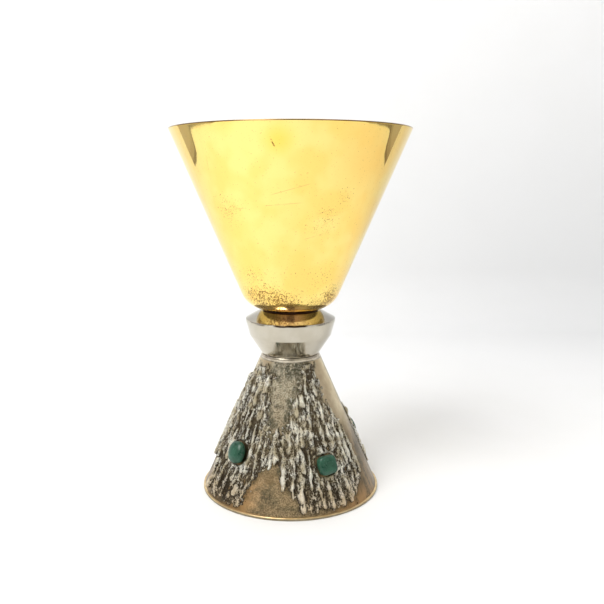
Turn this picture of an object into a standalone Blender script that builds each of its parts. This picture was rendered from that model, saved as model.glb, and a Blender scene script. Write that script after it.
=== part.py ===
"""Communion chalice, free standing, about 178 mm tall.

A spun conical cup is soldered to a short threaded spigot, and a screwed rod runs down from it
through a turned knop into a nut soldered inside a hollow conical foot. Four bark-like relief
panels are fused on the foot's cone, and each has a pocket with a polished green stone.
Origin: centre of the foot's underside. +Z is up, -Y is the front. Units are metres.
"""

from math import acos, cos, pi, radians, sin, tan

import bmesh
import bpy

MM = 0.001
SEGMENTS = 64
GAP = 0.3 * MM  # left between pieces that touch

# Driving dimensions
HEIGHT = 178 * MM
RIM_RADIUS = 57.9 * MM
CUP_SLOPE = radians(23.2)  # cup wall from the vertical
CUP_WALL = 1.2 * MM
CUP_CORNER = 13 * MM  # outer radius where the wall turns into the floor
CUP_UNDERSIDE = 91.4 * MM
KNOP_TOP = 90.7 * MM
KNOP_RADIUS = 22.2 * MM
FOOT_HEIGHT = 68.9 * MM
FOOT_RADIUS = 44.3 * MM
FOOT_TOP_RADIUS = 14.35 * MM
FOOT_WALL = 2 * MM
ROD_RADIUS = 4 * MM  # M8 screwed rod
ROD_END = 53.5 * MM
BORE_RADIUS = ROD_RADIUS + GAP
THROUGH_RADIUS = ROD_RADIUS + 0.5 * MM  # where the rod only passes
NUT_FLATS = 13 * MM
NUT_HEIGHT = 6.5 * MM
SPIGOT_RADIUS = 8 * MM
SPIGOT_DEPTH = 3 * MM
RECESS_RADIUS = SPIGOT_RADIUS + GAP
WASHER_THICKNESS = 1 * MM
WASHER_SINK = 0.6 * MM  # how deep the washer lies in the knop
WASHER_INNER_RADIUS = 8.6 * MM
WASHER_OUTER_RADIUS = 13.7 * MM
BOSS_DEPTH = 3.7 * MM  # how deep the cup's spigot enters the knop
PLUG_BOTTOM = 62 * MM
CONE_TOP = 67 * MM
BASE_RING_HEIGHT = 1.4 * MM
BASE_RING_INNER_RADIUS = 38.5 * MM
BASE_RING_OUTER_RADIUS = 44.6 * MM

FOOT_TANGENT = (FOOT_RADIUS - FOOT_TOP_RADIUS) / FOOT_HEIGHT
FOOT_COSINE = 1 / (1 + FOOT_TANGENT**2) ** 0.5
FOOT_SINE = FOOT_TANGENT * FOOT_COSINE
FOOT_SLOPE = acos(FOOT_COSINE)  # foot wall from the vertical

# Relief panels and stones
RELIEF_BASE = 0.8 * MM  # thickness between the ridges
RELIEF_RIDGE = 0.9 * MM  # how far the ridges stand above that
RELIEF_COLUMNS = 18
RELIEF_ROWS = 12
STONE_BED = 0.05 * MM  # cement under a stone, above the relief's own gap
POCKET_MARGIN = 0.4 * MM
POCKET_DEPTH = 7 * MM
POCKET_POWER = 3

# Panel edges: (height in mm, left edge, right edge), the edges in degrees from the stone
SLANTED_PANEL = [
    (3, -20, 12),
    (13, -26, 19),
    (18, -40, 22),
    (23, -48, 30),
    (32, -50, 30),
    (42, -49, 24),
    (52, -44, 19),
    (59, -38, 21),
    (64.5, -20, 14),
]
BROAD_PANEL = [
    (3, -14, 15),
    (12, -31, 33),
    (20, -37, 34),
    (30, -42, 32),
    (40, -32, 27),
    (50, -23, 16),
    (58, -16, 18),
    (65.5, -8, 19),
]
LEANING_PANEL = [
    (3, -6, 15),
    (8, -8, 24),
    (13, -22, 31),
    (18, -27, 34),
    (28, -27, 34),
    (35, -20, 30),
    (41, 0, 28),
    (58, 3, 24),
    (65.5, 5, 22),
]
# (edges, side, stone's azimuth, stone's height, half sizes in mm, roundness, roll); side -1 mirrors
PANELS = [
    (SLANTED_PANEL, 1, -47, 24.6, (5.0, 5.5, 2.9), 2.3, 8),
    (BROAD_PANEL, 1, 28, 21.5, (4.8, 4.7, 2.8), 3.6, 14),
    (LEANING_PANEL, 1, 119, 24.0, (4.5, 5.1, 2.8), 2.5, -10),
    (SLANTED_PANEL, -1, 208, 21.5, (5.0, 4.6, 2.8), 3.2, 20),
]


def clear_scene():
    for obj in list(bpy.data.objects):
        bpy.data.objects.remove(obj)


def collection(name):
    made = bpy.data.collections.new(name)
    bpy.context.scene.collection.children.link(made)
    return made


def metal(name, colour, roughness, metallic=1.0):
    material = bpy.data.materials.new(name)
    material.use_nodes = True
    shader = material.node_tree.nodes["Principled BSDF"]
    shader.inputs["Base Color"].default_value = (*colour, 1)
    shader.inputs["Metallic"].default_value = metallic
    shader.inputs["Roughness"].default_value = roughness
    return material


def place(name, mesh, material, group):
    obj = bpy.data.objects.new(name, mesh)
    obj.data.materials.append(material)
    group.objects.link(obj)
    return obj


def shade(mesh):
    mesh.shade_smooth()
    mesh.set_sharp_from_angle(angle=radians(40))


def turned(name, outline, material, group, closed=True):
    """A lathe piece. The outline is (radius, height) pairs that run down the outer side first."""
    mesh = bpy.data.meshes.new(name)
    edges = [(i, i + 1) for i in range(len(outline) - 1)]
    if closed:
        edges.append((len(outline) - 1, 0))
    mesh.from_pydata([(radius, 0, height) for radius, height in outline], edges, [])
    obj = place(name, mesh, material, group)
    screw = obj.modifiers.new("Turn", "SCREW")
    screw.steps = SEGMENTS
    screw.render_steps = SEGMENTS
    screw.use_merge_vertices = True
    screw.merge_threshold = 0.01 * MM
    screw.use_smooth_shade = True


def cup_side(inset):
    """The cup's outline from its lip to its floor, this far inside its outer surface."""
    centre_z = CUP_UNDERSIDE + CUP_CORNER
    centre_r = RIM_RADIUS - (HEIGHT - centre_z) * tan(CUP_SLOPE) - CUP_CORNER / cos(CUP_SLOPE)
    radius = CUP_CORNER - inset
    steps = 7
    turns = [CUP_SLOPE + (pi / 2 - CUP_SLOPE) * i / steps for i in range(steps + 1)]
    corner = [(centre_r + radius * cos(turn), centre_z - radius * sin(turn)) for turn in turns]
    return [(RIM_RADIUS - inset / cos(CUP_SLOPE), HEIGHT), *corner]


def build_bowl(material, group):
    """The spun cup. Its lip is cut flat, so that a paten can lie on it."""
    outside = [*cup_side(0), (0, CUP_UNDERSIDE)]
    inside = [*cup_side(CUP_WALL), (0, CUP_UNDERSIDE + CUP_WALL)]
    turned("bowl", [*reversed(inside), *outside], material, group, closed=False)


def tube_outline(inner, outer, bottom, top):
    return [(inner, top), (outer, top), (outer, bottom), (inner, bottom)]


def build_cup_fixings(brass, leather, group):
    """The spigot soldered under the cup, its screwed rod, and the washer that the cup seats on."""
    top = CUP_UNDERSIDE - GAP
    boss = tube_outline(BORE_RADIUS, SPIGOT_RADIUS, KNOP_TOP - BOSS_DEPTH, top)
    turned("bowl_boss", boss, brass, group)
    rod = [(0, top), (ROD_RADIUS, top), (ROD_RADIUS, ROD_END), (0, ROD_END)]
    turned("tie_rod", rod, brass, group, closed=False)
    low = KNOP_TOP - WASHER_SINK
    washer = tube_outline(WASHER_INNER_RADIUS, WASHER_OUTER_RADIUS, low, low + WASHER_THICKNESS)
    turned("seat_washer", washer, leather, group)


def build_knop(material, group):
    """A turned knop: a shallow cone on top, a narrow land, and two tapers down to the foot."""
    bottom = FOOT_HEIGHT + GAP
    washer_floor = KNOP_TOP - WASHER_SINK - GAP
    washer_wall = WASHER_OUTER_RADIUS + GAP
    boss_floor = KNOP_TOP - BOSS_DEPTH - GAP
    spigot_roof = bottom + SPIGOT_DEPTH
    land_top = 86.6 * MM
    land_bottom = land_top - 1 * MM
    outline = [
        (washer_wall, KNOP_TOP),
        (14.9 * MM, KNOP_TOP),
        (KNOP_RADIUS, land_top),
        (KNOP_RADIUS, land_bottom),
        (20.3 * MM, 78.4 * MM),
        (FOOT_TOP_RADIUS, bottom),
        (RECESS_RADIUS, bottom),
        (RECESS_RADIUS, spigot_roof),
        (THROUGH_RADIUS, spigot_roof),
        (THROUGH_RADIUS, boss_floor),
        (RECESS_RADIUS, boss_floor),
        (RECESS_RADIUS, washer_floor),
        (washer_wall, washer_floor),
    ]
    turned("knop", outline, material, group)


def foot_radius(height):
    return FOOT_RADIUS - height * FOOT_TANGENT


def build_foot(bronze, gilt, group):
    """The base ring, the cone and the turned plug that closes its top, all on one axis."""
    ring = tube_outline(BASE_RING_INNER_RADIUS, BASE_RING_OUTER_RADIUS, 0, BASE_RING_HEIGHT)
    turned("base_ring", ring, gilt, group)
    low = BASE_RING_HEIGHT + GAP
    wall = FOOT_WALL / FOOT_COSINE
    cone = [
        (foot_radius(CONE_TOP), CONE_TOP),
        (foot_radius(low), low),
        (foot_radius(low) - wall, low),
        (foot_radius(CONE_TOP) - wall, CONE_TOP),
    ]
    turned("foot_cone", cone, bronze, group)
    flange = CONE_TOP + GAP
    plug_radius = foot_radius(CONE_TOP) - wall - GAP
    plug = [
        (THROUGH_RADIUS, FOOT_HEIGHT + SPIGOT_DEPTH),
        (SPIGOT_RADIUS, FOOT_HEIGHT + SPIGOT_DEPTH),
        (SPIGOT_RADIUS, FOOT_HEIGHT),
        (FOOT_TOP_RADIUS, FOOT_HEIGHT),
        (foot_radius(flange), flange),
        (plug_radius, flange),
        (plug_radius, PLUG_BOTTOM),
        (THROUGH_RADIUS, PLUG_BOTTOM),
    ]
    turned("foot_plug", plug, bronze, group)


def cut(obj, cutter):
    boolean = obj.modifiers.new(cutter.name, "BOOLEAN")
    boolean.operation = "DIFFERENCE"
    boolean.object = cutter
    cutter.hide_render = True
    cutter.display_type = "WIRE"


def build_nut(material, group, cutters):
    """A hexagon nut for the rod, held under the plug."""
    middle = PLUG_BOTTOM - GAP - NUT_HEIGHT / 2
    sizes = (("foot_nut", 6, NUT_FLATS / 2 / cos(pi / 6), NUT_HEIGHT, group),
             ("nut_bore", 32, BORE_RADIUS, 2 * NUT_HEIGHT, cutters))
    made = []
    for name, sides, radius, depth, home in sizes:
        bpy.ops.mesh.primitive_cylinder_add(
            vertices=sides, radius=radius, depth=depth, location=(0, 0, middle)
        )
        obj = bpy.context.object
        obj.name = name
        obj.data.materials.append(material)
        bpy.context.collection.objects.unlink(obj)
        home.objects.link(obj)
        made.append(obj)
    cut(*made)


def between(edges, height):
    """The left and right edge at a height, read off a panel's list of edges."""
    for (low, *before), (high, *after) in zip(edges, edges[1:]):
        if height <= high:
            share = (height - low) / (high - low)
            return [a + (b - a) * share for a, b in zip(before, after)]
    return edges[-1][1:]


def on_cone(azimuth, height, lift):
    """A point this far above the cone's surface, along its normal. Azimuth 0 is the front."""
    radius = foot_radius(height) + lift * FOOT_COSINE
    return (radius * sin(azimuth), -radius * cos(azimuth), height + lift * FOOT_SINE)


def ridge_lift(column, row):
    """The panel's thickness at a grid point: every second column stands up as a broken ridge."""
    if column % 2 == 0 or row in (0, RELIEF_ROWS):
        return RELIEF_BASE
    swell = 0.5 + 0.5 * sin(1.9 * row + 2.4 * column)
    return RELIEF_BASE + RELIEF_RIDGE * (0.45 + 0.55 * swell)


def build_relief(name, edges, side, azimuth, material, group):
    """A curved plate that hugs the cone, thickened into ridges that run down it."""
    shape = bmesh.new()
    bmesh.ops.create_grid(
        shape, x_segments=RELIEF_COLUMNS, y_segments=RELIEF_ROWS, size=0.5
    )
    back = list(shape.verts)
    raised = bmesh.ops.extrude_face_region(shape, geom=shape.faces[:])
    front = [item for item in raised["geom"] if isinstance(item, bmesh.types.BMVert)]
    bottom, top = edges[0][0], edges[-1][0]
    for verts, is_front in ((back, False), (front, True)):
        for vert in verts:
            across, along = vert.co.x + 0.5, vert.co.y + 0.5
            height = bottom + (top - bottom) * along
            left, right = between(edges, height)
            turn = azimuth + side * (left + (right - left) * across)
            lift = GAP
            if is_front:
                lift += ridge_lift(round(across * RELIEF_COLUMNS), round(along * RELIEF_ROWS))
            vert.co = on_cone(radians(turn), height * MM, lift)
    bmesh.ops.recalc_face_normals(shape, faces=shape.faces)
    mesh = bpy.data.meshes.new(name)
    shape.to_mesh(mesh)
    shape.free()
    return place(name, mesh, material, group)


def rounded_block(name, half_sizes, power):
    """A sphere eased towards a box: power 2 is an ellipsoid, and more is squarer."""
    shape = bmesh.new()
    bmesh.ops.create_uvsphere(shape, u_segments=20, v_segments=12, radius=1)
    for vert in shape.verts:
        size = sum(abs(value) ** power for value in vert.co) ** (1 / power)
        for axis in range(3):
            vert.co[axis] *= half_sizes[axis] / size
    mesh = bpy.data.meshes.new(name)
    shape.to_mesh(mesh)
    shape.free()
    return mesh


def flatten_back(mesh, level):
    """Cuts the stone flat below a level, as it is ground to sit on the cone."""
    shape = bmesh.new()
    shape.from_mesh(mesh)
    everything = shape.verts[:] + shape.edges[:] + shape.faces[:]
    bmesh.ops.bisect_plane(
        shape, geom=everything, plane_co=(0, 0, level), plane_no=(0, 0, -1), clear_outer=True
    )
    rim = [edge for edge in shape.edges if edge.is_boundary]
    bmesh.ops.contextual_create(shape, geom=rim)
    bmesh.ops.recalc_face_normals(shape, faces=shape.faces)
    shape.to_mesh(mesh)
    shape.free()


def build_stone(number, relief, azimuth, height, half_sizes, power, roll, material, groups):
    """A polished stone seated on the cone, in a pocket cut through its relief panel."""
    group, cutters = groups
    seat = bpy.data.objects.new(f"stone_{number}_seat", None)
    seat.location = on_cone(radians(azimuth), height * MM, GAP)
    seat.rotation_euler = (pi / 2 - FOOT_SLOPE, 0, radians(azimuth))
    group.objects.link(seat)
    half = [size * MM for size in half_sizes]
    ground_away = 0.45 * half[2]
    mesh = rounded_block(f"stone_{number}", half, power)
    flatten_back(mesh, ground_away - half[2])
    stone = place(f"stone_{number}", mesh, material, group)
    stone.location = (0, 0, half[2] - ground_away + STONE_BED)
    pocket_half = [half[0] + POCKET_MARGIN, half[1] + POCKET_MARGIN, POCKET_DEPTH]
    pocket_mesh = rounded_block("pocket", pocket_half, POCKET_POWER)
    pocket = place(f"pocket_{number}", pocket_mesh, material, cutters)
    for obj in (stone, pocket):
        obj.parent = seat
        obj.rotation_euler = (0, 0, radians(roll))
        shade(obj.data)
    cut(relief, pocket)


def build():
    clear_scene()
    group = collection("communion_chalice")
    cutters = collection("cutters")
    gold = metal("gilt_polished", (0.93, 0.72, 0.30), 0.12)
    nickel = metal("nickel_polished", (0.72, 0.69, 0.62), 0.14)
    bronze = metal("silvered_bronze", (0.50, 0.42, 0.30), 0.42)
    bark = metal("oxidised_relief", (0.33, 0.29, 0.23), 0.48)
    brass = metal("turned_brass", (0.72, 0.55, 0.28), 0.32)
    leather = metal("seat_leather", (0.06, 0.035, 0.02), 0.7, metallic=0)
    green = metal("green_stone", (0.02, 0.16, 0.09), 0.25, metallic=0)
    build_bowl(gold, group)
    build_cup_fixings(brass, leather, group)
    build_knop(nickel, group)
    build_foot(bronze, gold, group)
    build_nut(brass, group, cutters)
    for number, (edges, side, azimuth, *stone) in enumerate(PANELS, start=1):
        relief = build_relief(f"relief_{number}", edges, side, azimuth, bark, group)
        build_stone(number, relief, azimuth, *stone, green, (group, cutters))


build()
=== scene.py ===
"""The looks of the communion chalice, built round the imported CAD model. Units are metres.

Every visible piece is new geometry that stands for a CAD node and rides on its body. Sizes and
places are read from the CAD nodes' boxes. Azimuths are degrees round the axis: 0 is the front,
-Y, and they grow towards +X.
"""

from itertools import product
from math import atan, atan2, cos, degrees, hypot, pi, radians, sin, tan

import bpy
import numpy as np
from mathutils import Euler, Matrix, Vector


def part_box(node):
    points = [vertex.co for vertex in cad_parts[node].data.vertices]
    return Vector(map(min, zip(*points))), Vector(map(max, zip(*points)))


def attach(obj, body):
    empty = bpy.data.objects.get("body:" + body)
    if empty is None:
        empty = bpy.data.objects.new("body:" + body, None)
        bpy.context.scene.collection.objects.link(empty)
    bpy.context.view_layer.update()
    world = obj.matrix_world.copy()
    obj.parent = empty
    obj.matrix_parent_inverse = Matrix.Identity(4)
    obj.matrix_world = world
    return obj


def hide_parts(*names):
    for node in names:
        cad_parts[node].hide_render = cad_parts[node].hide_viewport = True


MM = 0.001

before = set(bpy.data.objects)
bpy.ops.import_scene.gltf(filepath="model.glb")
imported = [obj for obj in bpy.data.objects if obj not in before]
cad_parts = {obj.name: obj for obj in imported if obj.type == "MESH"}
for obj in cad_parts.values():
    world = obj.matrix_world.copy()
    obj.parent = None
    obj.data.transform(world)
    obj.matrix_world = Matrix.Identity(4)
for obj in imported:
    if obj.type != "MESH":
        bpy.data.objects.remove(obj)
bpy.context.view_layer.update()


# Sizes, read from the CAD parts where they have them ----------


def top(node):
    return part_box(node)[1].z


def bottom(node):
    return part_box(node)[0].z


def radius(node):
    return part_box(node)[1].x


def size_of(node):
    return top(node), bottom(node), radius(node)


SEGMENTS = 256  # round a turned piece
SUPPORT = 0.35 * MM  # from a fillet to the point that keeps the flat beside it flat
CUP_SLOPE = radians(23.2)
CUP_WALL = 1.2 * MM
CUP_CORNER = 13 * MM
BOSS_BORE = 4.3 * MM
WASHER_BORE = 8.6 * MM
KNOP_RIM = 14.9 * MM
KNOP_LAND = (85.6 * MM, 86.6 * MM)
KNOP_WAIST = (20.3 * MM, 78.4 * MM)
KNOP_FOOT = 14.35 * MM
RING_BORE = 38.5 * MM
FOOT_WALL = 2 * MM
CONE_TOP_RADIUS = 15.176 * MM
THREAD_PITCH = 1.25 * MM
THREAD_DEPTH = 0.77 * MM

CONE_LOW = bottom("foot_cone")
CONE_HIGH = top("foot_cone")
FOOT_TANGENT = (radius("foot_cone") - CONE_TOP_RADIUS) / (CONE_HIGH - CONE_LOW)
FOOT_SLOPE = atan(FOOT_TANGENT)


def foot_radius(height):
    return radius("foot_cone") - (height - CONE_LOW) * FOOT_TANGENT


def mm_a_degree(rise):
    """The length in mm of a degree round the foot, at a height in mm."""
    return foot_radius(rise * MM) / MM * radians(1)


# Smooth random values, the same each run ----------


def noise(*coords, seed=0.0):
    """Smooth values from 0 to 1 with one random value a unit, in as many dimensions as given."""
    cells = [np.floor(c) for c in coords]
    shares = [c - f for c, f in zip(coords, cells)]
    shares = [s * s * (3 - 2 * s) for s in shares]
    total = 0
    for corner in product((0, 1), repeat=len(coords)):
        weight = 1
        phase = 1.7 + seed * 9.13
        for offset, cell, share, prime in zip(corner, cells, shares, (12.9898, 78.233, 37.719)):
            weight = weight * (share if offset else 1 - share)
            phase = phase + (cell + offset) * prime
        value = np.sin(phase) * 43758.5453
        total = total + weight * (value - np.floor(value))
    return total


def layered(*coords, octaves=3, seed=0.0):
    """Noise with finer layers on top, still from 0 to 1."""
    total, weight, sum_of_weights = 0, 1, 0
    for octave in range(octaves):
        scaled = [c * 2**octave for c in coords]
        total = total + weight * noise(*scaled, seed=seed + octave * 3.1)
        sum_of_weights += weight
        weight *= 0.5
    return total / sum_of_weights


def ramp(value, low, high):
    """Eases from 0 at low to 1 at high."""
    share = np.clip((value - low) / (high - low), 0, 1)
    return share * share * (3 - 2 * share)


# Meshes ----------


def add_object(name, data):
    obj = bpy.data.objects.new(name, data)
    bpy.context.scene.collection.objects.link(obj)
    return obj


def add_mesh(name, verts, faces, material):
    mesh = bpy.data.meshes.new(name)
    mesh.from_pydata(verts, [], faces)
    mesh.materials.append(material)
    return add_object(name, mesh)


def add_piece(name, verts, faces, material, body, node):
    """A smooth mesh that stands for a CAD node and rides on its body."""
    obj = add_mesh(name, verts, faces, material)
    obj.data.validate()
    obj.data.shade_smooth()
    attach(obj, body)
    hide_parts(node)
    return obj


def filleted(corners, steps=7):
    """An outline from (radius, height, fillet) corners. Support points keep the flats flat."""
    points = []
    last = len(corners) - 1
    for i, (r, z, fillet) in enumerate(corners):
        here = Vector((r, z))
        if not fillet:
            points.append(here)
            continue
        before = Vector(corners[i - 1 if i else last][:2]) - here
        after = Vector(corners[i + 1 if i < last else 0][:2]) - here
        opening = before.angle(after)
        reach = fillet / tan(opening / 2)
        start = here + before.normalized() * reach
        end = here + after.normalized() * reach
        middle = here + (before.normalized() + after.normalized()).normalized() * (
            fillet / sin(opening / 2)
        )
        count = max(steps, round(fillet / (0.6 * MM)))
        arms = start - middle, end - middle
        swing = arms[0].angle_signed(arms[1])
        points.append(start + before.normalized() * min(SUPPORT, before.length / 3))
        for step in range(count + 1):
            turn = -swing * step / count
            arm = Matrix.Rotation(turn, 2) @ arms[0]
            points.append(middle + arm)
        points.append(end + after.normalized() * min(SUPPORT, after.length / 3))
    return [(p.x, p.y) for p in points]


def faces_between(one, two):
    """The faces between two closed rings that have as many points."""
    count = len(one)
    steps = [(step, (step + 1) % count) for step in range(count)]
    return [[one[step], two[step], two[after], one[after]] for step, after in steps]


def add_attribute(obj, name, values):
    """A number on each vertex, for the materials to read."""
    attribute = obj.data.attributes.new(name, "FLOAT", "POINT")
    attribute.data.foreach_set("value", values.astype(np.float32))


def lathe(name, outline, material, body, node, closed=True):
    """A turned piece. The outline is (radius, height) points; a point on the axis ends it."""
    verts, rings = [], []
    for r, z in outline:
        if r < 1e-7:
            rings.append([len(verts)] * SEGMENTS)
            verts.append((0, 0, z))
            continue
        rings.append(list(range(len(verts), len(verts) + SEGMENTS)))
        for step in range(SEGMENTS):
            turn = 2 * pi * step / SEGMENTS
            verts.append((r * cos(turn), r * sin(turn), z))
    if closed:
        rings.append(rings[0])
    faces = []
    for one, two in zip(rings, rings[1:]):
        faces += [list(dict.fromkeys(corners)) for corners in faces_between(one, two)]
    add_piece(name, verts, faces, material, body, node)


def lathe_tube(name, bore, fillets, material, body, node):
    """A plain tube. The fillets in mm start at the bore's top edge and go round by the outside."""
    high, low, outer = size_of(node)
    edges = (bore, high), (outer, high), (outer, low), (bore, low)
    outline = filleted([(*edge, fillet * MM) for edge, fillet in zip(edges, fillets)])
    lathe(name, outline, material, body, node)


# The cup and what is fixed to it ----------


def build_cup(material):
    """The spun cup: a flat lip with eased edges, a straight wall and a rounded bottom corner."""
    high, low, rim = size_of("bowl")
    foot_corner = rim - (high - low) * tan(CUP_SLOPE)
    inner_shift = CUP_WALL / cos(CUP_SLOPE)
    floor = low + CUP_WALL
    inner_corner = rim - inner_shift - (high - floor) * tan(CUP_SLOPE)
    outline = filleted(
        [
            (0, floor, 0),
            (inner_corner, floor, CUP_CORNER - CUP_WALL),
            (rim - inner_shift, high, 0.4 * MM),
            (rim, high, 0.45 * MM),
            (foot_corner, low, CUP_CORNER),
            (0, low, 0),
        ]
    )
    lathe("gilt_cup", outline, material, "cup", "bowl", closed=False)


def build_boss(material):
    fillets = (0, 0, 0.5, 0.2)
    lathe_tube("cup_spigot", BOSS_BORE, fillets, material, "cup", "bowl_boss")


def build_rod(material):
    """The screwed rod. Its helical thread is real geometry, with 60 degree flanks."""
    high, low, outer = size_of("tie_rod")
    sides, rows_a_turn = 64, 12
    rows = int((high - low) / THREAD_PITCH * rows_a_turn)
    verts = []
    for row in range(rows + 1):
        z = low + (high - low) * row / rows
        chamfer = min(1, (z - low) / (1.2 * MM), (high - z) / (0.4 * MM))
        for side in range(sides):
            turn = 2 * pi * side / sides
            phase = ((z - low) / THREAD_PITCH - turn / (2 * pi)) % 1
            crest = min(1, max(0, 1.35 - 3.4 * abs(phase - 0.5)))
            r = outer - THREAD_DEPTH * (1 - crest * chamfer)
            verts.append((r * cos(turn), r * sin(turn), z))
    faces = []
    for row in range(rows):
        for side in range(sides):
            after = (side + 1) % sides
            start = row * sides
            faces.append([start + side, start + after, start + sides + after, start + sides + side])
    faces.append(list(range(sides))[::-1])
    faces.append(list(range(rows * sides, (rows + 1) * sides)))
    obj = add_piece("screwed_rod", verts, faces, material, "cup", "tie_rod")
    obj.data.set_sharp_from_angle(angle=radians(50))


def build_washer(material):
    fillets = (0.3, 0.3, 0.3, 0.3)
    lathe_tube("leather_washer", WASHER_BORE, fillets, material, "washer", "seat_washer")


# The knop and the foot ----------


def build_knop(material):
    high, low, outer = size_of("knop")
    recess, through = 8.3 * MM, 4.5 * MM
    washer_wall, washer_floor = 14 * MM, high - 0.9 * MM
    boss_floor, spigot_roof = high - 4 * MM, low + 3 * MM
    crisp = 0.12 * MM
    outline = filleted(
        [
            (washer_wall, high, 0.15 * MM),
            (KNOP_RIM, high, 0.2 * MM),
            (outer, KNOP_LAND[1], 0.18 * MM),
            (outer, KNOP_LAND[0], 0.25 * MM),
            (*KNOP_WAIST, 2.5 * MM),
            (KNOP_FOOT, low, crisp),
            (recess, low, crisp),
            (recess, spigot_roof, crisp),
            (through, spigot_roof, crisp),
            (through, boss_floor, crisp),
            (recess, boss_floor, crisp),
            (recess, washer_floor, crisp),
            (washer_wall, washer_floor, crisp),
        ],
        steps=5,
    )
    lathe("nickel_knop", outline, material, "foot", "knop")


def build_plug(material):
    """The collar under the knop, with the spigots that locate it in the knop and the cone."""
    high, low = top("foot_plug"), bottom("foot_plug")
    spigot, through, body = 8 * MM, 4.5 * MM, 12.7 * MM
    flange_top, flange_low = bottom("knop") - 0.3 * MM, CONE_HIGH - 0.05 * MM  # soldered to the cone
    crisp = 0.15 * MM
    outline = filleted(
        [
            (through, high, crisp),
            (spigot, high, crisp),
            (spigot, flange_top, crisp),
            (KNOP_FOOT, flange_top, 0.3 * MM),
            (foot_radius(flange_low) + 0.02 * MM, flange_low, 0),
            (body, flange_low, crisp),
            (body, low, crisp),
            (through, low, crisp),
        ],
        steps=5,
    )
    lathe("foot_collar", outline, material, "foot", "foot_plug")


def build_nut(material):
    """The hexagon nut: chamfered corners above and below, and an eased bore."""
    high, low, flat = size_of("foot_nut")
    face, bore = 0.94 * flat, 4.15 * MM
    sides, levels = 96, 7
    verts, rings = [], []
    for level in range(levels):
        rings.append(list(range(len(verts), len(verts) + sides)))
        for side in range(sides):
            turn = 2 * pi * side / sides
            hexagon = flat / cos((turn + pi / 6) % (pi / 3) - pi / 6)
            drop = (hexagon - face) * tan(radians(30))
            outline = (
                (bore + 0.5 * MM, low),
                (bore, low + 0.5 * MM),
                (bore, high),
                (face, high),
                (hexagon, high - drop),
                (hexagon, low + drop),
                (face, low),
            )
            r, z = outline[level]
            verts.append((r * cos(turn), r * sin(turn), z))
    faces = []
    for one, two in zip(rings, rings[1:] + rings[:1]):
        faces += faces_between(one, two)
    obj = add_piece("captive_nut", verts, faces, material, "foot", "foot_nut")
    obj.data.set_sharp_from_angle(angle=radians(25))


def build_ring(material):
    fillets = (0.2, 0.45, 0.35, 0.2)
    lathe_tube("gilt_foot_ring", RING_BORE, fillets, material, "foot", "base_ring")


def on_cone(azimuth, height, lift):
    """Arrays of points this far above the cone's surface, along its normal."""
    r = foot_radius(height) + lift * cos(FOOT_SLOPE)
    turn = np.radians(azimuth)
    return np.stack([r * np.sin(turn), -r * np.cos(turn), height + lift * sin(FOOT_SLOPE)], -1)


def build_cone(material):
    """The foot's plain cone: a closed shell with a slightly uneven, hand-finished outer side."""
    across, rows = 384, 96
    azimuths = np.arange(across) * 360 / across
    heights = np.linspace(top("base_ring") - 0.05 * MM, CONE_HIGH, rows + 1)  # soldered to the ring
    turn, height = np.meshgrid(azimuths, heights)
    around = on_cone(turn, height, 0 * turn) / MM
    uneven = layered(*(around.transpose(2, 0, 1) / 5), seed=4)
    edge = ramp(height, CONE_LOW, CONE_LOW + MM) * ramp(height, CONE_HIGH, CONE_HIGH - MM)
    outer = on_cone(turn, height, -0.1 * MM * uneven * edge)
    wall = FOOT_WALL / cos(FOOT_SLOPE)
    outward = np.stack([np.sin(np.radians(turn)), -np.cos(np.radians(turn)), 0 * turn], -1)
    inner = outer - outward * wall
    verts = np.concatenate([outer.reshape(-1, 3), inner.reshape(-1, 3)])
    faces = []
    inside = (rows + 1) * across
    for row in range(rows):
        for step in range(across):
            after = (step + 1) % across
            a, b = row * across + step, row * across + after
            c, d = b + across, a + across
            faces.append([a, b, c, d])
            faces.append([inside + d, inside + c, inside + b, inside + a])
    high = rows * across
    for step in range(across):
        after = (step + 1) % across
        faces.append([inside + step, inside + after, after, step])
        faces.append([high + step, high + after, inside + high + after, inside + high + step])
    obj = add_piece("foot_shell", verts.tolist(), faces, material, "foot", "foot_cone")
    obj.data.set_sharp_from_angle(angle=radians(60))
    for name, values in finish_of(turn, height).items():
        add_attribute(obj, name, np.concatenate([values.ravel()] * 2))


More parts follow.
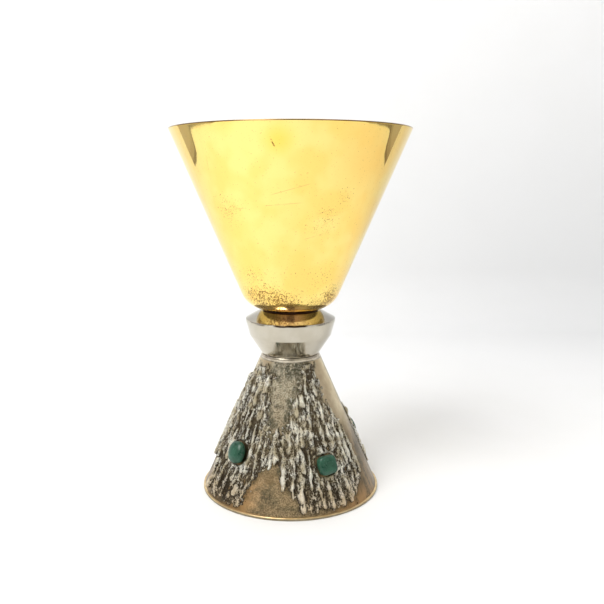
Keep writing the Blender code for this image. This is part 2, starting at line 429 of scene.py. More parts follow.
def finish_of(azimuth, height):
    """The cone's finish, in four shares: sandy grain, warm brown tone, dark oxide with painted shade
    beside the relief, and an orange tint, the metal's own low on the right and painted light low on the
    front left.
    """
    rise = height / MM
    turn = (azimuth + 180) % 360 - 180
    ring = np.radians(azimuth)
    clouds = layered(3 * np.sin(ring) + 9, 3 * np.cos(ring) + 9, rise / 9, octaves=4, seed=8)
    fine = layered(11 * np.sin(ring) + 30, 11 * np.cos(ring) + 30, rise / 2.5, seed=9)
    strip = ramp(np.abs(turn + 5), 36, 24) * ramp(rise, 13, 24)
    foot = 0.9 * ramp(np.abs(turn - 2), 36, 20) * ramp(rise + 8 * (fine - 0.5), 19, 12)
    foot = foot * ramp(clouds, 0.0, 0.4)
    sides = ramp(np.abs(turn), 78, 95) * ramp(clouds, 0.45, 0.62)
    grain = np.maximum(np.maximum(strip, foot), sides)
    warm = ramp(rise + 24 * (clouds - 0.5), 58, 20)
    rim = 0.8 * ramp(rise, 9, 2) * ramp(turn, 12, 30) * ramp(turn, 80, 55)
    # Painted light: the cone is lighter and more orange low on the front left.
    lit = ramp(rise, 17, 12) * ramp(turn, -48, -38) * ramp(turn, -6, -24)
    bare = ramp(turn, 38, 48) * ramp(turn, 88, 78) * ramp(rise, 30, 44)
    oxide = ramp(0.55 * clouds + 0.45 * fine, 0.42, 0.60) * (0.4 + 0.6 * grain)
    collar = ramp(rise, 56, 62) * ramp(np.abs(turn - 12), 34, 18) * ramp(fine, 0.25, 0.45)
    streaks = layered(turn * 0.30 + 50, rise * 0.09, seed=12)
    streaks = 0.8 * ramp(streaks, 0.52, 0.66) * ramp(turn, 34, 44) * ramp(turn, 100, 88)
    streaks = streaks * ramp(rise, 36, 24)
    oxide = np.maximum(oxide, collar)
    # Painted shade: the cone is darker close to each relief panel; it joins the oxide share.
    oxide = np.maximum(oxide, relief_edge_shade_of(turn, rise) * ramp(fine, 0.25, 0.6))
    wiped = 0.25 * ramp(np.abs(turn), 14, 6) * ramp(rise, 19, 13)
    oxide = np.maximum(oxide, streaks) * (1 - bare) * (1 - wiped)
    return {
        "grain": grain * (1 - bare),
        "warm": warm * (1 - 0.6 * bare),
        "oxide": oxide,
        "orange_and_lit": np.maximum(rim, lit),
    }


def relief_edge_shade_of(turn, rise):
    """1 on the cone close to a relief panel, where painted shade darkens the cone beside the relief."""
    relief_edge_shade = 0 * rise
    for number, panel in enumerate(PANELS, start=1):
        left, right = edges_at(panel[0], panel[1], rise)
        from_stone = (turn - seat_of(number)[0] + 180) % 360 - 180
        outside = np.maximum(left - from_stone, from_stone - right)
        outside = outside * mm_a_degree(rise)
        outside = np.maximum(outside, np.maximum(panel[0][0][0] - rise, rise - panel[0][-1][0]))
        relief_edge_shade = np.maximum(relief_edge_shade, ramp(outside, 2.6, -0.2))
    return relief_edge_shade


# The relief: fused ridges of metal that run down the foot like bark ----------

# Panel edges: (height in mm, left edge, right edge), the edges in degrees from the stone
SLANTED_PANEL = [
    (3, -20, 12),
    (13, -26, 19),
    (18, -40, 22),
    (23, -48, 30),
    (32, -50, 30),
    (42, -49, 24),
    (52, -44, 19),
    (59, -38, 21),
    (64.5, -20, 14),
]
BROAD_PANEL = [
    (3, -14, 15),
    (12, -31, 33),
    (20, -37, 34),
    (30, -42, 32),
    (40, -32, 27),
    (50, -23, 16),
    (58, -16, 18),
    (65.5, -8, 19),
]
LEANING_PANEL = [
    (3, -6, 15),
    (8, -8, 24),
    (13, -22, 31),
    (18, -27, 34),
    (28, -27, 34),
    (35, -20, 30),
    (41, 0, 28),
    (58, 3, 24),
    (65.5, 5, 22),
]
# The ridges that stand out, as (azimuth and height of the top, of the bottom, half width, height)
LEFT_RIDGES = (
    (14, 61, 14, 52.5, 1.15, 1.7),
    (2, 59, 1, 46, 0.9, 1.3),
    (15, 51.5, 13, 40, 0.9, 1.5),
    (-8, 55, -8, 40, 0.9, 1.3),
    (4, 45, 4, 31, 1.0, 1.5),
    (-3, 47, -3, 34, 0.9, 1.3),
    (12, 39, 12, 17, 0.9, 1.4),
    (19, 36, 19, 15, 0.85, 1.3),
    (25, 33, 24, 24, 0.8, 1.3),
    (31, 31, 31, 20, 0.95, 1.4),
    (7, 12, 7, 6.5, 1.6, 1.7),
    (-3, 19, -5, 3.5, 0.8, 1.3),
    (-10, 19, -13, 3.2, 0.9, 1.5),
    (-17, 19, -21, 5, 0.8, 1.4),
    (3, 19, 2, 12, 0.9, 1.4),
)
RIGHT_RIDGES = (
    (-20, 52, -21, 43, 1.1, 1.6),
    (-15, 53, -14, 47, 1.3, 1.7),
    (-8, 60, -7, 50, 0.9, 1.4),
    (6, 60, 6, 51, 1.0, 1.4),
    (6, 49, 6, 40.5, 1.3, 1.7),
    (-9, 45, -8, 34, 1.2, 1.6),
    (-27, 43, -26, 38, 0.9, 1.3),
    (2, 39, 3, 29, 1.1, 1.5),
    (9, 38, 10, 28, 1.0, 1.4),
    (17, 42, 20, 20, 0.8, 1.3),
    (24, 40, 26, 12, 0.75, 1.3),
    (31, 36, 33, 13, 0.8, 1.3),
    (-14, 29, -13, 12, 0.8, 1.4),
    (-9, 16, -6, 3.5, 0.9, 1.5),
    (-1, 15, 0, 3, 1.0, 1.5),
    (6, 15, 8, 3, 1.1, 1.6),
    (13, 16, 15, 3.5, 1.1, 1.6),
)
# (edges, side, half sizes in mm, roundness, roll, ridges); side -1 mirrors the edges
PANELS = [
    (SLANTED_PANEL, 1, (5.0, 5.5, 2.9), 2.3, 8, LEFT_RIDGES),
    (BROAD_PANEL, 1, (4.8, 4.7, 2.8), 3.6, 4, RIGHT_RIDGES),
    (LEANING_PANEL, 1, (4.5, 5.1, 2.8), 2.5, -10, ()),
    (SLANTED_PANEL, -1, (5.0, 4.6, 2.8), 3.2, 20, ()),
]
STONE_GROUND = 0.45  # share of a stone's lower half that is ground away
STONE_BED = 0.35 * MM
CELL = 0.27 * MM  # spacing of the relief's grid
GRID_ENDS = (2.0, 66.6)  # heights in mm
BANDS = (62, 54, 46, 38, 30, 22, 14, 7)  # heights in mm round which the random ridges lie
RIDGE_STEP = 4.6  # mm between coarse ridges
FEWEST_CELLS = 3
LEAST_LIFT = 0.06  # mm; where the relief is lower, the cone is bare
MOST_LIFT = 1.85  # mm
SUNK_EDGE = -0.12  # mm; the skin's rim dips under the cone's surface
SKIN_DEPTH = 0.3 * MM  # the relief's back is this far inside the cone


def seat_of(number):
    """A stone's azimuth and the height of its bed, from the CAD stone's box."""
    low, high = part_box(f"stone_{number}")
    middle = (low + high) / 2
    azimuth = degrees(atan2(middle.x, -middle.y))
    out = hypot(middle.x, middle.y)
    lift = (out - foot_radius(middle.z)) * cos(FOOT_SLOPE)
    return azimuth, middle.z - lift * sin(FOOT_SLOPE)


def edges_at(edges, side, rise):
    heights = [row[0] for row in edges]
    left = np.interp(rise, heights, [row[1] for row in edges])
    right = np.interp(rise, heights, [row[2] for row in edges])
    return (left, right) if side == 1 else (-right, -left)


def lay_strands(edges, side, seed, accents):
    """The panel's ridges: the accents, then coarse and fine ones in bands from top to bottom.

    A ridge is (azimuth and height of its top, of its bottom, half width, height). Azimuths are in
    degrees from the stone and the rest is in mm.
    """
    rng = np.random.default_rng(seed)
    strands = list(accents)

    def place(azimuth, middle, length, half, height, reach):
        high = min(middle + length / 2, edges[-1][0] + 1.5)
        low = max(middle - length / 2, edges[0][0] - 0.3)
        for near in accents:
            apart = abs(azimuth - (near[0] + near[2]) / 2) * reach
            if apart < near[4] + 1.4 * half + 0.2 and low < near[1] and high > near[3]:
                return
        lean = rng.uniform(-0.7, 0.7) / reach
        if high - low > 2.5 * half:
            strands.append((azimuth - lean, high, azimuth + lean, low, half, height))

    for band in BANDS:
        reach = mm_a_degree(band)
        left, right = edges_at(edges, side, band)
        step = RIDGE_STEP / reach
        for azimuth in np.arange(left + rng.uniform(0.3, 0.8) * step, right - 0.2 * step, step):
            size = rng.uniform(0.75, 1.3)
            away = azimuth + rng.uniform(-0.35, 0.35) * step
            middle = band + rng.uniform(-4, 4)
            place(away, middle, rng.uniform(9, 20), 1.25 * size, 1.4 * size + 0.1, reach)
        for _ in range(int((right - left) / step * 0.8)):
            size = rng.uniform(0.6, 1.2)
            azimuth = rng.uniform(left + 0.3 * step, right - 0.3 * step)
            middle = band + rng.uniform(-4, 4)
            place(azimuth, middle, rng.uniform(3, 9), 0.6 * size, 0.8 * size + 0.1, reach)
    return strands


def relief_lift(panel, azimuth, rise, seed):
    """The relief's height above the cone in mm, over a grid of azimuths from the stone and heights."""
    edges, side, accents = panel[0], panel[1], panel[5]
    reach = mm_a_degree(rise)
    across = azimuth * reach
    left, right = edges_at(edges, side, rise)
    inside = np.minimum(azimuth - left, right - azimuth) * reach
    inside = np.minimum(inside, np.minimum(rise - edges[0][0], edges[-1][0] - rise))
    inside = inside + 4.0 * (layered(across * 0.45, rise * 0.35, seed=seed) - 0.5)
    crust = ramp(inside, -0.2, 1.6)
    pitted = layered(across * 0.6, rise * 0.35, octaves=4, seed=seed + 1)
    lift = crust * np.clip(2.2 * pitted - 0.65, 0.06, 1)
    crumbs = ramp(noise(across * 0.75, rise * 0.7, seed=seed + 7), 0.70, 0.92) * ramp(inside, -1.5, -0.2)
    lift = np.maximum(lift, 0.65 * crumbs)
    ragged = 1.35 * (layered(across, rise * 0.5, seed=seed + 8) - 0.5)
    strong = 0.55 + 0.8 * layered(across * 0.13, rise * 0.10, octaves=2, seed=seed + 9)
    for index, ridge in enumerate(lay_strands(edges, side, seed, accents)):
        az_top, high, az_low, low, half, height = ridge
        rows = np.where((rise[:, 0] < high + 1) & (rise[:, 0] > low - 1))[0]
        if len(rows) < FEWEST_CELLS:
            continue
        part = slice(rows[0], rows[-1] + 1)
        along = (high - rise[part]) / (high - low)
        wander = 0.8 * (noise(rise[part] * 0.2, 0 * along + index, seed=seed + 2) - 0.5)
        middle = az_top + (az_low - az_top) * along
        away = np.abs((azimuth[part] - middle) * reach[part] - wander + ragged[part])
        lumps = noise(rise[part] * 0.4, 0 * along + index, seed=seed + 3)
        ends = np.clip(1 - np.abs(2 * along - 1) ** 6, 0, 1) ** 0.5 * ramp(along, -0.1, 0.35)
        drip = 0.16 * np.exp(-(((high - rise[part]) - (high - low) + 1.3 * half) ** 2) / half**2)
        width = half * ends * (0.62 + 0.85 * lumps + drip)
        profile = np.clip(1 - (away / np.maximum(width, 1e-6)) ** 2, 0, 1) ** 0.9
        swell = 0.5 + 0.75 * noise(rise[part] * 0.3, 0 * along + index, seed=seed + 4) + drip
        raised = profile * height * swell * strong[part] + 0.3 * crust[part] * (profile > 0)
        lift[part] = np.maximum(lift[part], raised)
    return lift


def stone_mask(panel, azimuth, rise, stone_rise):
    """How far a grid point is outside the stone's outline: 1 on its edge, in its own half sizes."""
    half, power, roll = panel[2:5]
    across = azimuth * mm_a_degree(rise)
    up = (rise - stone_rise) / cos(FOOT_SLOPE)
    c, s = cos(radians(roll)), sin(radians(roll))
    x, y = (across * c + up * s) / half[0], (-across * s + up * c) / half[1]
    return (np.abs(x) ** power + np.abs(y) ** power) ** (1 / power)


def panel_grid(number, panel):
    """A grid over the panel: azimuths from its stone, heights in mm, and the relief's lift in mm."""
    edges, side = panel[:2]
    stone_rise = seat_of(number)[1] / MM
    seed = 10 * number
    widest = [edges_at(edges, side, row[0]) for row in edges]
    low_az = min(w[0] for w in widest) - 4
    high_az = max(w[1] for w in widest) + 4
    across = int(radians(high_az - low_az) * foot_radius(20 * MM) / CELL)
    low_end, high_end = GRID_ENDS
    rows = int((high_end - low_end) * MM / cos(FOOT_SLOPE) / CELL)
    heights = np.linspace(low_end, high_end, rows)
    azimuth, rise = np.meshgrid(np.linspace(low_az, high_az, across), heights)
    lift = relief_lift(panel, azimuth, rise, seed)
    out = stone_mask(panel, azimuth, rise, stone_rise)
    collar = np.exp(-(((out - 1.24) / 0.13) ** 2))
    lumps = layered(azimuth * 0.35, rise * 0.45, octaves=2, seed=seed + 5)
    lift = np.maximum(lift, collar * (1.5 * lumps - 0.35))
    lift *= ramp(out, 1.03, 1.16)
    grit = layered(azimuth * mm_a_degree(rise), rise * 0.28, seed=seed + 6) - 0.5
    standing = ramp(lift, 0.02, 0.6)
    lift = np.minimum(lift + 1.25 * grit * standing, MOST_LIFT - 0.5 * np.clip(-grit, 0, 1))
    return azimuth, rise, lift


def build_relief(number, panel, material):
    """One clump of relief: a closed skin over every grid cell where metal stands on the cone."""
    azimuth, rise, lift = panel_grid(number, panel)
    centre = seat_of(number)[0]
    kept = lift > LEAST_LIFT
    lift = np.where(kept, lift, SUNK_EDGE)
    cells = kept[:-1, :-1] | kept[1:, :-1] | kept[:-1, 1:] | kept[1:, 1:]
    front = on_cone(azimuth + centre, rise * MM, lift * MM)
    back = on_cone(azimuth + centre, rise * MM, np.full_like(lift, -SKIN_DEPTH))
    used = np.zeros_like(kept)
    for row, column in ((0, 0), (1, 0), (0, 1), (1, 1)):
        used[row : row + cells.shape[0], column : column + cells.shape[1]] |= cells
    index = np.full(kept.shape, -1)
    count = int(used.sum())
    index[used] = np.arange(count)
    verts = np.concatenate([front[used], back[used]])
    faces = []
    tall, wide = cells.shape
    for row, column in zip(*np.nonzero(cells)):
        a, b = index[row, column], index[row, column + 1]
        d, c = index[row + 1, column], index[row + 1, column + 1]
        faces.append([a, b, c, d])
        faces.append([d + count, c + count, b + count, a + count])
        for near, one, two in (
            ((row - 1, column), a, b),
            ((row, column + 1), b, c),
            ((row + 1, column), c, d),
            ((row, column - 1), d, a),
        ):
            if 0 <= near[0] < tall and 0 <= near[1] < wide and cells[near]:
                continue
            faces.append([two, one, one + count, two + count])
    name, node = f"bark_relief_{number}", f"relief_{number}"
    obj = add_piece(name, verts.tolist(), faces, material, "foot", node)
    add_attribute(obj, "wear", np.tile(wear_of(lift)[used], 2))


def blurred(values, passes):
    """The grid's values, each averaged with its neighbours this many times."""
    for _ in range(passes):
        padded = np.pad(values, 1, mode="edge")
        values = (
            padded[1:-1, 1:-1] * 4
            + (padded[:-2, 1:-1] + padded[2:, 1:-1] + padded[1:-1, :-2] + padded[1:-1, 2:]) * 2
            + padded[:-2, :-2] + padded[2:, 2:] + padded[:-2, 2:] + padded[2:, :-2]
        ) / 16
    return values


def wear_of(lift):
    """0 in the hollows, where the dark oxide stays, and 1 on the ridges, which polishing reaches."""
    stands_out = lift - blurred(lift, 24)
    return ramp(stands_out, -0.42, 0.46) * (0.45 + 0.55 * ramp(lift, 0.0, 0.8))


def build_stone(number, panel, material):
    """A tumbled stone, seated as the CAD stone is, with its ground back on the cone."""
    half, power, roll = panel[2:5]
    azimuth, height = seat_of(number)
    around, rings = 72, 48
    verts, rows = [], []
    ground = -half[2] * (1 - STONE_GROUND)
    for ring in range(1, rings):
        rows.append(list(range(len(verts), len(verts) + around)))
        polar = pi * ring / rings
        for step in range(around):
            turn = 2 * pi * step / around
            way = np.array([sin(polar) * cos(turn), sin(polar) * sin(turn), cos(polar)])
            size = (np.abs(way) ** power).sum() ** (1 / power)
            worn = 0.985 - 0.05 * layered(*(way * 1.3 + 7 * number), octaves=2, seed=number)
            point = way / size * worn * half
            point[2] = max(point[2], ground)
            verts.append(point)
    verts.append(np.array([0, 0, half[2] * 0.965]))
    verts.append(np.array([0, 0, ground]))
    faces = []
    for one, two in zip(rows, rows[1:]):
        faces += faces_between(one, two)
    for step in range(around):
        after = (step + 1) % around
        faces.append([len(verts) - 2, rows[0][step], rows[0][after]])
        faces.append([len(verts) - 1, rows[-1][after], rows[-1][step]])
    leaning = Euler((pi / 2 - FOOT_SLOPE, 0, radians(azimuth))).to_matrix()
    turned = leaning @ Matrix.Rotation(radians(roll), 3, "Z")
    bed = Vector(on_cone(azimuth, height, STONE_BED))
    placed = [bed + turned @ (Vector(v - np.array([0, 0, ground])) * MM) for v in verts]
    name, node = f"tumbled_stone_{number}", f"stone_{number}"
    add_piece(name, placed, faces, material, "foot", node)


# Materials ----------


class Surface:
    """A Principled material with short calls for the nodes that this script uses."""

    def __init__(self, name, **sockets):
        self.material = bpy.data.materials.new(name)
        self.material.use_nodes = True
        self.tree = self.material.node_tree
        self.shader = self.tree.nodes["Principled BSDF"]
        for socket, value in sockets.items():
            self.shader.inputs[socket.replace("_", " ")].default_value = value
        self.place = self.tree.nodes.new("ShaderNodeTexCoord").outputs["Object"]

    def node(self, kind, **inputs):
        made = self.tree.nodes.new(kind)
        for socket, value in inputs.items():
            self.set(made.inputs[socket.replace("_", " ")], value)
        return made

    def set(self, socket, value):
        if isinstance(value, bpy.types.NodeSocket):
            self.tree.links.new(value, socket)
        else:
            socket.default_value = value

    def drive(self, socket, value):
        self.set(self.shader.inputs[socket], value)

    def noise(self, cell, detail=3.0, roughness=0.55, stretch=(1, 1, 1)):
        """Noise with features about this many mm across."""
        place = self.place
        if stretch != (1, 1, 1):
            mapping = self.node("ShaderNodeMapping", Vector=place)
            mapping.inputs["Scale"].default_value = stretch
            place = mapping.outputs["Vector"]
        settings = {"Scale": 1 / (cell * MM), "Detail": detail, "Roughness": roughness}
        return self.node("ShaderNodeTexNoise", Vector=place, **settings).outputs["Fac"]

    def cells(self, cell):
        made = self.node("ShaderNodeTexVoronoi", Vector=self.place, Scale=1 / (cell * MM))
        return made.outputs["Distance"]

    def between(self, value, low, high, to_low=0.0, to_high=1.0):
        made = self.tree.nodes.new("ShaderNodeMapRange")
        made.interpolation_type = "SMOOTHSTEP"
        for socket, number in zip(made.inputs, (value, low, high, to_low, to_high)):
            self.set(socket, number)
        return made.outputs["Result"]

    def math(self, operation, one, two=0.0):
        made = self.tree.nodes.new("ShaderNodeMath")
        made.operation = operation
        self.set(made.inputs[0], one)
        self.set(made.inputs[1], two)
        return made.outputs["Value"]

    def times(self, one, two):
        return self.math("MULTIPLY", one, two)

    def plus(self, one, two):
        return self.math("ADD", one, two)

    def most(self, one, two):
        return self.math("MAXIMUM", one, two)

    def from_place(self, operation, other):
        made = self.tree.nodes.new("ShaderNodeVectorMath")
        made.operation = operation
        self.set(made.inputs[0], self.place)
        made.inputs[1].default_value = other
        return made.outputs["Value"]

    def near(self, point, reach):
        """1 at a point and 0 at this distance from it."""
        return self.between(self.from_place("DISTANCE", point), 0.0, reach, 1.0, 0.0)

    def scratch(self, start, end, width):
        """1 on a fine line over the cup from one point to the other."""
        start, end = Vector(start), Vector(end)
        centre = Vector((0, 0, (start.z + end.z) / 2))
        across = (start - centre).cross(end - centre).normalized()
        along = end - start
        from_line = self.math("ABSOLUTE", self.dot(across, start))
        on_line = self.between(from_line, width, width * 0.3)
        share = self.dot(along / along.length_squared, start)
        fade_in = self.between(share, 0.0, 0.15)
        fade_out = self.between(share, 1.0, 0.8)
        side = Vector((start.x + end.x, start.y + end.y, 0)).normalized()
        same_side = self.between(self.dot(side, Vector()), 0.0, 5 * MM)
        within = self.times(self.times(fade_in, fade_out), same_side)
        return self.times(on_line, within)

    def dot(self, direction, origin):
        """How far along a direction the surface point is from an origin."""
        along = self.from_place("DOT_PRODUCT", direction)
        return self.math("SUBTRACT", along, direction.dot(origin))

    def mix(self, share, one, two):
        """A colour between two. Its sockets go by place, as other types share their names."""
        made = self.tree.nodes.new("ShaderNodeMix")
        made.data_type = "RGBA"
        self.set(made.inputs["Factor"], share)
        for socket, value in ((made.inputs[6], one), (made.inputs[7], two)):
            self.set(socket, (*value, 1) if isinstance(value, tuple) else value)
        return made.outputs[2]

    def attribute(self, name):
        made = self.tree.nodes.new("ShaderNodeAttribute")
        made.attribute_name = name
        return made.outputs["Fac"]

    def height(self):
        """The point's height above the base, in metres."""
        return self.node("ShaderNodeSeparateXYZ", Vector=self.place).outputs["Z"]

    def bump(self, height, depth, strength):
        made = self.node("ShaderNodeBump", Height=height, Distance=depth, Strength=strength)
        self.drive("Normal", made.outputs["Normal"])


# Where the gilding is pitted: azimuth, height in mm, reach in mm, density
FAILING_SPOTS = (
    (-42, 99, 14, 1.0),
    (-26, 97, 16, 1.5),
    (-8, 95, 15, 1.3),
    (-36, 110, 11, 0.55),
    (50, 98, 14, 1.1),
    (30, 95, 13, 0.8),
    (30, 110, 12, 0.4),
    (-42, 141, 13, 0.55),
    (22, 137, 13, 0.5),
    (32, 147, 8, 0.5),
)
# Hairline scratches on the front: (azimuth, height in mm) of both ends
SCRATCHES = (
    ((-12, 147.5), (13, 153)),
    ((-16, 143), (8, 144.5)),
    ((-43, 141), (-27, 142)),
    ((-38, 143.5), (-30, 141)),
    ((15, 139), (27, 142)),
    ((20, 134), (29, 137.5)),
    ((-46, 158), (-44, 165)),
    ((8, 128), (24, 131)),
)


def cup_point(azimuth, height):
    """A point on the cup's outer side."""
    r = radius("bowl") - (top("bowl") - height) * tan(CUP_SLOPE)
    turn = radians(azimuth)
    return (r * sin(turn), -r * cos(turn), height)


def gilt_material():
    """Mirror gilding: cloudy in tone, smeared, scratched, and pitted where the plate has failed, with
    painted shade making it more orange on the upper right and a painted dark reflection along the lip.
    """
    s = Surface("gilt_mirror", Metallic=1.0)
    clouds = s.noise(16, detail=2, roughness=0.5)
    tone = s.mix(s.between(clouds, 0.36, 0.64), (1.0, 0.765, 0.25), (1.0, 0.695, 0.19))
    smear = s.near(cup_point(-5, 170 * MM), 10 * MM)
    tone = s.mix(s.times(smear, 0.9), tone, (0.95, 0.67, 0.12))
    # Painted shade: the gilding is more orange on the upper right, where it mirrors the dimmer floor.
    dim_reflection_tint = s.times(s.near(cup_point(42, 163 * MM), 26 * MM), 0.7)
    tone = s.mix(dim_reflection_tint, tone, (0.98, 0.63, 0.17))
    failing = s.between(s.height(), 125 * MM, 93 * MM, 0.04, 0.26)
    for azimuth, height, reach, strength in FAILING_SPOTS:
        spot = s.times(s.near(cup_point(azimuth, height * MM), reach * MM), strength)
        failing = s.most(failing, spot)
    failing = s.math("MINIMUM", failing, 0.95)
    grit = s.noise(0.60, detail=2, roughness=0.5)
    patchy = s.times(failing, s.between(s.noise(2.4, detail=2), 0.3, 0.62, 0.6, 1.0))
    pits = s.between(s.plus(grit, s.times(patchy, 0.28)), 0.69, 0.77)
    stain = s.scratch(cup_point(-8.6, 170.6 * MM), cup_point(-6.8, 166.8 * MM), 0.5 * MM)
    stain = s.times(stain, s.between(s.noise(0.9), 0.40, 0.54))
    pits = s.most(pits, stain)
    stained = s.mix(s.times(pits, 0.82), tone, (0.21, 0.10, 0.025))
    marks = s.between(s.noise(1.7), 0.42, 0.5, 0.2, 0.6)
    scored = 0.0
    for first, last in SCRATCHES:
        ends = [cup_point(azimuth, height * MM) for azimuth, height in (first, last)]
        scored = s.most(scored, s.scratch(*ends, 0.13 * MM))
    scored = s.times(scored, marks)
    stained = s.mix(scored, stained, (0.42, 0.26, 0.08))
    # Painted reflection: a thin dark brown line along the lip, where its rounded edge mirrors the dark
    # room.
    lip = s.between(s.height(), top("bowl") - 0.65 * MM, top("bowl") - 0.45 * MM)
    s.drive("Base Color", s.mix(s.times(lip, 0.9), stained, (0.26, 0.155, 0.07)))
    smears = s.noise(14, detail=4, roughness=0.6, stretch=(1, 1, 0.45))
    rough = s.plus(s.between(smears, 0.35, 0.7, 0.02, 0.06), s.times(lip, 0.15))
    s.drive("Roughness", s.plus(rough, s.times(s.plus(pits, scored), 0.3)))
    waves = s.plus(s.noise(22, detail=1), s.times(pits, -0.03))
    s.bump(waves, 0.12 * MM, 0.5)
    return s.material


def nickel_material():
    s = Surface("polished_nickel", Metallic=1.0)
    cloud = s.noise(7, detail=4)
    plain = s.mix(s.between(cloud, 0.35, 0.68), (0.56, 0.525, 0.445), (0.51, 0.47, 0.385))
    # The knop's top is darker on its left and right sides.
    right = s.near((19 * MM, -7 * MM, 88.6 * MM), 17 * MM)
    left = s.times(s.near((-19 * MM, -7 * MM, 88.6 * MM), 17 * MM), 0.8)
    above = s.between(s.height(), KNOP_LAND[1] - 0.1 * MM, KNOP_LAND[1] + 0.2 * MM)
    darker_sides = s.times(s.most(left, right), above)
    # Painted reflection: the knop's top is lighter and pinker at the front, where it mirrors the gilt
    # cup.
    cup_reflection_tint = s.times(s.near((0, -18 * MM, 88.6 * MM), 13 * MM), above)
    plain = s.mix(cup_reflection_tint, plain, (0.82, 0.69, 0.80))
    toned = s.mix(darker_sides, plain, (0.27, 0.25, 0.21))
    # Painted reflection: a dark wavy line just under the land's top edge, at the front, where the knop
    # mirrors the dark gap.
    wavy = s.between(s.noise(4, detail=1), 0.3, 0.7, -0.08 * MM, 0.08 * MM)
    edge = s.math("SUBTRACT", s.plus(s.height(), wavy), KNOP_LAND[1] - 0.38 * MM)
    line = s.between(s.math("ABSOLUTE", edge), 0.54 * MM, 0.42 * MM)
    gap_reflection_reach = s.between(s.near((0, -22.2 * MM, KNOP_LAND[1]), 13.5 * MM), 0.25, 0.5)
    line = s.times(line, gap_reflection_reach)
    s.drive("Base Color", s.mix(line, toned, (0.05, 0.032, 0.016)))
    turning = s.noise(2.5, stretch=(0.2, 0.2, 16))
    polish = s.between(turning, 0.3, 0.7, 0.07, 0.14)
    s.drive("Roughness", s.plus(polish, s.between(cloud, 0.45, 0.7, 0.0, 0.05)))
    s.bump(turning, 0.01 * MM, 0.5)
    return s.material


def foot_material():
    """Silvered bronze: satin and toned brown in places, sandy and oxidised in others, with painted light
    low on the front left and painted shade beside the relief.
    """
    s = Surface("silvered_bronze", Metallic=1.0)
    grain = s.attribute("grain")
    sand = s.noise(0.62, roughness=0.7)
    cloud = s.noise(7, detail=5, roughness=0.62)
    satin = s.mix(s.between(cloud, 0.35, 0.65), (0.82, 0.71, 0.48), (0.68, 0.56, 0.35))
    toned = s.mix(s.between(cloud, 0.3, 0.7), (0.31, 0.215, 0.11), (0.19, 0.13, 0.065))
    plain = s.mix(s.attribute("warm"), satin, toned)
    # An orange tint: the metal's own low on the right, painted light low on the front left.
    plain = s.mix(s.attribute("orange_and_lit"), plain, (0.60, 0.37, 0.17))
    pale = s.mix(s.attribute("warm"), (0.55, 0.51, 0.41), (0.45, 0.345, 0.20))
    sandy = s.mix(s.between(sand, 0.38, 0.60), (0.12, 0.098, 0.062), pale)
    ground = s.mix(s.times(grain, 0.8), plain, sandy)
    specks = s.between(s.noise(1.3, detail=4, roughness=0.7), 0.40, 0.56, 0.4, 1.0)
    # The oxide share darkens the cone in specks; beside the relief this darkening is painted shade.
    dark = s.times(s.attribute("oxide"), specks)
    s.drive("Base Color", s.mix(s.times(dark, 0.88), ground, (0.06, 0.063, 0.043)))
    rough = s.between(cloud, 0.3, 0.7, 0.27, 0.38)
    s.drive("Roughness", s.plus(rough, s.times(grain, 0.08)))
    s.bump(s.times(sand, s.plus(s.times(grain, 0.9), 0.07)), 0.62 * MM, 1.0)
    return s.material


def collar_material():
    s = Surface("satin_nickel", Metallic=1.0)
    cloud = s.noise(3, detail=4)
    s.drive("Base Color", s.mix(s.between(cloud, 0.35, 0.65), (0.66, 0.60, 0.49), (0.50, 0.44, 0.34)))
    turning = s.noise(2, stretch=(0.2, 0.2, 12))
    s.drive("Roughness", s.between(turning, 0.3, 0.7, 0.24, 0.34))
    s.bump(s.noise(0.9), 0.10 * MM, 0.7)
    return s.material


def relief_material():
    """Fused metal: the attribute wear tells the ridges, which polishing reaches, from the oxidised
    hollows. Painted shade darkens the relief low on the left and at the centre.
    """
    s = Surface("oxidised_bark", Metallic=1.0)
    wear = s.attribute("wear")
    grit = s.noise(0.6, detail=4, roughness=0.75, stretch=(1, 1, 0.7))
    cloud = s.noise(5, detail=4, roughness=0.6)
    patch = s.noise(9, roughness=0.6, stretch=(1, 1, 0.6))
    worn = s.plus(wear, s.between(grit, 0.36, 0.64, -0.46, 0.38))
    worn = s.plus(worn, s.between(patch, 0.36, 0.64, -0.34, 0.18))
    # Painted shade: the relief is darker low on the left and, less so, at the centre.
    painted_shade_patches = s.near((-38 * MM, -22 * MM, 16 * MM), 34 * MM)
    centre_shade = s.times(s.near((-15 * MM, -18 * MM, 50 * MM), 18 * MM), 0.45)
    painted_shade_patches = s.most(painted_shade_patches, centre_shade)
    # Lighter in two patches on the front.
    lighter_patches = s.near((9 * MM, -22 * MM, 50 * MM), 16 * MM)
    lighter_patches = s.most(lighter_patches, s.near((25 * MM, -23 * MM, 24 * MM), 14 * MM))
    worn = s.plus(worn, s.times(painted_shade_patches, -0.30))
    worn = s.plus(worn, s.times(lighter_patches, 0.22))
    low = s.between(s.height(), 20 * MM, 3 * MM, 0.0, 0.6)
    silver = s.mix(s.between(cloud, 0.38, 0.62), (0.90, 0.885, 0.79), (0.55, 0.485, 0.34))
    ridge = s.mix(low, silver, (0.74, 0.57, 0.36))
    above = s.between(s.height(), 9 * MM, 24 * MM, 0.2, 1.0)
    crusted = s.times(s.between(cloud, 0.36, 0.62), above)
    hollow = s.mix(crusted, (0.060, 0.047, 0.031), (0.105, 0.082, 0.052))
    s.drive("Base Color", s.mix(s.between(worn, -0.08, 0.88), hollow, ridge))
    s.drive("Roughness", s.between(worn, 0.1, 0.8, 0.6, 0.34))
    s.bump(grit, 0.55 * MM, 1.0)
    return s.material


